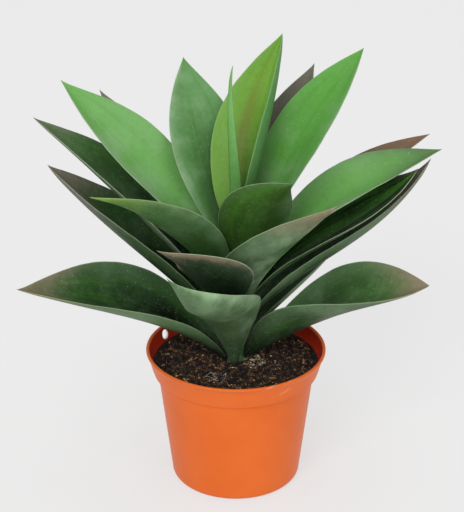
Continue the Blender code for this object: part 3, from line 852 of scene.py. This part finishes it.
def pot_material():
    """Orange plastic with a worn lip, a dusty foot and painted red shade on the wall inside."""
    material, tree, shader = new_material("pot_plastic", IOR=1.48, Specular_IOR_Level=0.18)
    here = out(add_node(tree, "ShaderNodeTexCoord"), "Object")
    x, y, z = parts_of(here)
    clouds = noise(tree, here, 22.0, 4.0, 0.6)
    grain = noise(tree, here, 1400.0, 2.0, 0.5)
    scuffs = noise(tree, vector_of(tree, x * 60.0, y * 60.0, z * 320.0), 1.0, 6.0, 0.7)
    body = blend_colours(ease(clouds, 0.3, 0.7), POT_ORANGE, POT_PALE_ORANGE)

    # Fine scuffs, more of them on the band and lip, and one scraped patch at the front right
    high = ease(z, WEAR_LOW, WEAR_HIGH)
    worn = ease(scuffs, 0.64, 0.8) * high * 0.35 + ease(scuffs, 0.7, 0.85) * 0.1
    scrape_place = vector_of(tree, x * 70.0 + z * 40.0, y * 70.0, z * 420.0 - x * 200.0)
    scraped = noise(tree, scrape_place, 1.0, 4.0, 0.7)
    patch = (ease(size_of(x - SCRAPE_X), SCRAPE_WIDE, SCRAPE_NARROW)
             * ease(y, SCRAPE_FRONT, SCRAPE_FULL) * high)
    worn = worn + ease(scraped, 0.55, 0.68) * patch * 0.6
    body = blend_colours(worn, body, POT_WORN)

    # Dust round the foot, and painted shade in deep red on the wall inside, above the peat
    dust = ease(z, DUST_HEIGHT, 0.0) * ease(clouds, 0.4, 0.7) * 0.2
    body = blend_colours(dust, body, POT_DUST)
    radius = (x * x + y * y)**0.5
    slope = (LIP_RADIUS - LIP_BEAD - BAND_RADIUS) / (POT_HEIGHT - 2 * LIP_BEAD - STEP_HEIGHT)
    middle = (z - STEP_HEIGHT) * slope + (BAND_RADIUS - WALL * 0.5)
    inside = ease(radius - middle, 0.2 * MM, -0.2 * MM) * ease(z, INSIDE_LOW, INSIDE_FULL)
    inside = inside * ease(z, INSIDE_END, INSIDE_HIGH)
    body = blend_colours(inside * 0.85, body, POT_INSIDE_SHADE)
    put(tree, shader.inputs["Base Color"], body)
    put(tree, shader.inputs["Roughness"], 0.4 + (clouds - 0.5) * 0.12 + worn * 0.4)
    relieve(tree, shader, grain * 0.3 + clouds, 0.12 * MM, 0.6)
    return material


def peat_light_and_shade(tree, here):
    """Painted light on patches of the peat a few millimetres wide, and painted shade in the dark hollows
    between them.
    """
    return ease(noise(tree, here, 240.0, 3.0, 0.5), 0.42, 0.62) * 1.5


def peat_material():
    """Black and brown crumbs with tan patches, with painted light on patches and painted shade in hollows.
    """
    material, tree, shader = new_material("peat", Roughness=0.95)
    here = out(add_node(tree, "ShaderNodeTexCoord"), "Object")
    crumbs = noise(tree, here, 520.0, 6.0, 0.75)
    patches = noise(tree, here, 90.0, 3.0, 0.6)
    body = blend_colours(ease(crumbs, 0.35, 0.7) * peat_light_and_shade(tree, here), PEAT_BLACK, PEAT_BROWN)
    body = blend_colours(ease(patches, 0.5, 0.75) * 0.5, body, PEAT_TAN)
    put(tree, shader.inputs["Base Color"], body)
    relieve(tree, shader, crumbs, 1.2 * MM, 1.0)
    return material


def crumb_material(name, dark, light):
    """Small loose stuff: each bit has its own tone between dark and light, with painted shade in the
    hollows and painted light on the patches between.
    """
    material, tree, shader = new_material(name, Roughness=0.9)
    here = out(add_node(tree, "ShaderNodeTexCoord"), "Object")
    shade = out(add_node(tree, "ShaderNodeAttribute", attribute_type="GEOMETRY", attribute_name="shade"),
                "Fac")
    grain = noise(tree, here, 700.0, 4.0, 0.7)
    body = blend_colours((shade**2.0 + (grain - 0.5) * 0.5) * peat_light_and_shade(tree, here), dark, light)
    put(tree, shader.inputs["Base Color"], body)
    relieve(tree, shader, grain, 0.5 * MM, 0.8)
    return material


def scatter_tree():
    """Bits strewn over the top of a mesh: crumbs, or short bent fibres where Fibre is on."""
    number, count = "NodeSocketFloat", "NodeSocketInt"
    tree, given = new_tree("strewn_bits", "GeometryNodeTree", [
        ("Ground", "NodeSocketGeometry", None), ("Bits Per Square Metre", number, 1000.0),
        ("Centre X", number, 0.0), ("Centre Y", number, 0.0), ("Least Radius", number, 0.0),
        ("Most Radius", number, 1.0), ("Least Height", number, 0.0),
        ("Small", number, 0.5 * MM), ("Large", number, 1.5 * MM), ("Flatness", number, 0.6),
        ("Fibre", "NodeSocketBool", False), ("Fibre Thickness", number, 0.1), ("Lift", number, 0.3),
        ("Seed", count, 1), ("Material", "NodeSocketMaterial", None),
    ], [("Geometry", "NodeSocketGeometry")])
    x, y, z = parts_of(out(add_node(tree, "GeometryNodeInputPosition")))
    off_x, off_y = x - given["Centre X"], y - given["Centre Y"]
    radius = (off_x * off_x + off_y * off_y)**0.5
    _, _, up = parts_of(out(add_node(tree, "GeometryNodeInputNormal")))
    wanted = (sum_of(tree, "GREATER_THAN", radius, given["Least Radius"])
              * sum_of(tree, "LESS_THAN", radius, given["Most Radius"])
              * sum_of(tree, "GREATER_THAN", z, given["Least Height"])
              * sum_of(tree, "GREATER_THAN", up, 0.3))
    points = out(add_node(tree, "GeometryNodeDistributePointsOnFaces", {
        "Mesh": given["Ground"], "Selection": wanted, "Density": given["Bits Per Square Metre"],
        "Seed": given["Seed"]}))
    lump = out(add_node(tree, "GeometryNodeMeshIcoSphere", {"Radius": 1.0, "Subdivisions": 1}))
    dent = noise(tree, out(add_node(tree, "GeometryNodeInputPosition")), 1.1, 2.0) - 0.5
    lump = out(add_node(tree, "GeometryNodeSetPosition", {
        "Geometry": lump, "Offset": out(add_node(tree, "GeometryNodeInputPosition")) * (dent * 1.3)}))
    arch = out(add_node(tree, "GeometryNodeCurveQuadraticBezier", {
        "Resolution": 5, "Start": (-1.0, 0.0, 0.0), "Middle": (0.2, 0.35, 0.2), "End": (1.0, -0.1, 0.1)}))
    ring = out(add_node(tree, "GeometryNodeCurvePrimitiveCircle", {
        "Resolution": 4, "Radius": given["Fibre Thickness"]}, mode="RADIUS"))
    strand = out(add_node(tree, "GeometryNodeCurveToMesh", {
        "Curve": arch, "Profile Curve": ring, "Fill Caps": True}))
    bit = add_node(tree, "GeometryNodeSwitch", {
        "Switch": given["Fibre"], "False": lump, "True": strand}, input_type="GEOMETRY")

    def drawn(low, high, draw):
        node = add_node(tree, "FunctionNodeRandomValue", {"Min": low, "Max": high, "Seed": draw},
                        data_type="FLOAT")
        return out(node, "Value")

    size = between(given["Small"], given["Large"], drawn(0.0, 1.0, 3)**2.0)
    flat = drawn(given["Flatness"], 1.0, 4)
    scale = vector_of(tree, size, size * drawn(0.12, 0.5, 5), size * flat)
    tilt = sum_of(tree, "SUBTRACT", 1.0, given["Flatness"]) * -0.6 + 0.9
    spin = vector_of(tree, drawn(-1.0, 1.0, 6) * tilt, drawn(-1.0, 1.0, 7) * tilt,
                     drawn(0.0, math.tau, 8))
    spin = out(add_node(tree, "FunctionNodeEulerToRotation", {0: spin}))
    bits = out(add_node(tree, "GeometryNodeInstanceOnPoints", {
        "Points": points, "Instance": out(bit), "Rotation": spin, "Scale": scale}))
    bits = keep(tree, bits, "shade", drawn(0.0, 1.0, 9), "INSTANCE")
    lift = vector_of(tree, 0.0, 0.0, size * given["Lift"])
    bits = out(add_node(tree, "GeometryNodeTranslateInstances", {
        "Instances": bits, "Translation": lift, "Local Space": False}))
    close_tree(tree, bits, given["Material"], False)
    return tree


def soil_profile():
    """Radii and heights round the peat, which fits the pot and has a hole for the stem."""
    shelf = STEP_HEIGHT + WALL
    foot = FLOOR + GAP
    corner = BASE_CORNER + foot
    edge = band_radius(SOIL_TOP) - WALL - SOIL_EDGE_GAP
    points = [(0.0, foot), (BASE_RADIUS - BASE_CORNER, foot)]
    points += [(wall_radius(corner) - WALL - GAP, corner)]
    points += [(wall_radius(shelf) - WALL - GAP, shelf + GAP + STEP_SLOPE)]
    points += [(band_radius(shelf) - WALL - GAP, shelf + GAP + STEP_SLOPE)]
    for ring in range(SOIL_RINGS + 1):
        share = ring / SOIL_RINGS
        radius = between(edge, SOIL_HOLE_RADIUS, share)
        points.append((radius, SOIL_TOP + SOIL_RISE * share**3))
    bottom = SOIL_TOP - SOIL_HOLE_DEPTH
    points += [(SOIL_HOLE_RADIUS, bottom), (0.0, bottom)]
    return points


# Where bits lie, how many to a square metre, half the length of the smallest and largest in millimetres,
# how flat they are at least, whether they are fibres, and how far they stand out of the peat
Strewn = namedtuple("Strewn", "name reach density small large flatness fibre lift seed dark light")

EVERYWHERE = {"Least Radius": 6 * MM, "Most Radius": 57 * MM}
CLEAR_OF_POT = {"Least Radius": 6 * MM, "Most Radius": 55 * MM}
BESIDE_STEM = {"Centre X": 12 * MM, "Centre Y": -4 * MM, "Least Radius": 0.0, "Most Radius": 9 * MM}
NEAR_FRONT = {"Centre X": -13 * MM, "Centre Y": -28 * MM, "Least Radius": 0.0, "Most Radius": 8 * MM}

STREWN = (
    Strewn("peat_crumbs", EVERYWHERE, 420000, 0.4, 1.7, 0.4, False, 0.2, 11,
           tone(7, 5, 4), tone(124, 84, 52)),
    Strewn("bark_chips", EVERYWHERE, 110000, 0.4, 1.3, 0.15, False, 0.6, 17,
           tone(24, 15, 9), tone(224, 170, 116)),
    Strewn("peat_fibres", CLEAR_OF_POT, 170000, 0.6, 2.3, 0.8, True, 0.4, 23,
           tone(32, 20, 12), tone(228, 178, 122)),
    Strewn("pale_grit", EVERYWHERE, 5200, 0.25, 0.7, 0.7, False, 1.2, 5,
           tone(150, 142, 126), tone(236, 230, 216)),
    Strewn("neck_grit", BESIDE_STEM, 900000, 0.3, 1.1, 0.4, False, 1.0, 31,
           tone(140, 122, 98), tone(240, 230, 212)),
    Strewn("pale_roots", NEAR_FRONT, 90000, 1.2, 2.8, 0.8, True, 0.9, 8,
           tone(200, 202, 192), tone(240, 242, 234)),
)


def fill_pot(turn):
    soil = turned("peat_bed", turn, soil_profile(), Sides=SOIL_SIDES, Lump_Height=LUMP_HEIGHT,
                  Lumps_Per_Metre=LUMPS_PER_METRE, Lumps_Above=SOIL_TOP - 0.3 * MM,
                  Lumps_Within=LUMPS_WITHIN, Seed=4.0, Material=peat_material())
    dress(soil, "peat", "soil")
    scatter = scatter_tree()
    ground = soil.data.copy()
    for bits in STREWN:
        dress(grown(bits.name, scatter, {
            **bits.reach, "Least Height": SOIL_TOP - 5 * MM, "Bits Per Square Metre": float(bits.density),
            "Small": bits.small * MM, "Large": bits.large * MM, "Flatness": bits.flatness,
            "Fibre": bits.fibre, "Fibre Thickness": FIBRE_THICKNESS, "Lift": bits.lift,
            "Seed": bits.seed, "Material": crumb_material(bits.name, bits.dark, bits.light)}, ground),
            "peat")


def neck_profile():
    """Radii and heights of the stem, widest at the peat and narrow under the heart of the rosette."""
    points = [(0.0, STEM_FOOT), (STEM_END_RADIUS, STEM_FOOT)]
    points += [(radius * MM, height * MM) for height, radius in NECK_RINGS]
    points.append((0.0, STEM_TOP))
    return points


def neck_material():
    """Blotchy green that turns to earth where the stem meets the peat."""
    material, tree, shader = new_material("stem_green", Roughness=0.6)
    here = out(add_node(tree, "ShaderNodeTexCoord"), "Object")
    _, _, height = parts_of(here)
    blotches = noise(tree, here, 160.0, 4.0, 0.6)
    body = blend_colours(ease(blotches, 0.3, 0.7), STEM_DARK, STEM_PALE)
    earth = ease(height + (blotches - 0.5) * 4 * MM, STEM_CLEAN, STEM_EARTHY)
    body = blend_colours(earth * 0.8, body, EARTH)
    put(tree, shader.inputs["Base Color"], body)
    relieve(tree, shader, blotches, 0.5 * MM, 0.6)
    return material


def make_pot(turn):
    pot = turned("nursery_pot", turn, pot_profile(), Sides=POT_SIDES, Material=pot_material())
    cut_holes(pot)
    pot.data.shade_smooth()
    pot.data.set_sharp_from_angle(angle=math.radians(SHARP_ANGLE))
    dress(pot, "pot_plastic", "pot")


# Floor, light and camera

AIR_STRENGTH = 0.62
FLOOR_GLOW = 0.6
MIDDLE = (0.0, 0.0, 0.15)
# Each lamp's name, place, size in metres and power in watts
LAMPS = (
    ("key_light", (-1.6, -4.4, 3.6), 3.0, 155),
    ("fill_light", (2.6, -4.2, 1.6), 3.6, 60),
    ("top_light", (0.4, 0.6, 5.6), 3.6, 40),
)
CAMERA_DISTANCE = 1.2
CAMERA_ELEVATION = math.radians(25.73)
CAMERA_LENS = 118.44
SENSOR_WIDTH = 36.0
AIM_UP = math.radians(1.036)
AIM_LEFT = math.radians(0.149)


def lay_floor():
    mesh = bpy.data.meshes.new("studio_floor")
    mesh.from_pydata([(-6, -3, 0), (6, -3, 0), (6, 14, 0), (-6, 14, 0)], [], [(0, 1, 2, 3)])
    floor = bpy.data.objects.new("studio_floor", mesh)
    bpy.context.scene.collection.objects.link(floor)
    material, _, _ = new_material(
        "pale_floor", Base_Color=FLOOR_GREY, Roughness=0.8, Specular_IOR_Level=0.0,
        Emission_Color=WHITE, Emission_Strength=FLOOR_GLOW)
    mesh.materials.append(material)


def light_scene():
    world = bpy.data.worlds.new("studio_air")
    world.use_nodes = True
    background = world.node_tree.nodes["Background"]
    background.inputs["Color"].default_value = WHITE
    background.inputs["Strength"].default_value = AIR_STRENGTH
    bpy.context.scene.world = world
    for name, place, size, power in LAMPS:
        data = bpy.data.lights.new(name, "AREA")
        data.shape = "DISK"
        data.size = size
        data.energy = power
        lamp = bpy.data.objects.new(name, data)
        lamp.location = place
        lamp.rotation_euler = (Vector(MIDDLE) - Vector(place)).to_track_quat("-Z", "Y").to_euler()
        bpy.context.scene.collection.objects.link(lamp)


def place_camera():
    """The photograph's view of the plant, from its front and somewhat above it."""
    data = bpy.data.cameras.new("camera")
    data.sensor_fit = "AUTO"
    data.sensor_width = SENSOR_WIDTH
    data.lens = CAMERA_LENS
    data.clip_start, data.clip_end = 0.05, 60.0
    camera = bpy.data.objects.new("camera", data)
    camera.location = (0.0, -CAMERA_DISTANCE * math.cos(CAMERA_ELEVATION),
                       MIDDLE[2] + CAMERA_DISTANCE * math.sin(CAMERA_ELEVATION))
    camera.rotation_euler = (math.pi / 2 - CAMERA_ELEVATION + AIM_UP, 0.0, AIM_LEFT)
    bpy.context.scene.collection.objects.link(camera)
    bpy.context.scene.camera = camera


def colour_management():
    view = bpy.context.scene.view_settings
    view.view_transform = "Standard"
    view.look = "None"
    view.exposure = 0.0


place_camera()
lay_floor()
light_scene()
colour_management()
turn = turned_tree()
make_pot(turn)
fill_pot(turn)
neck = turned("leafy_neck", turn, neck_profile(), Sides=NECK_SIDES, Material=neck_material())
dress(neck, "stem_green", "stem")
grow_leaves()
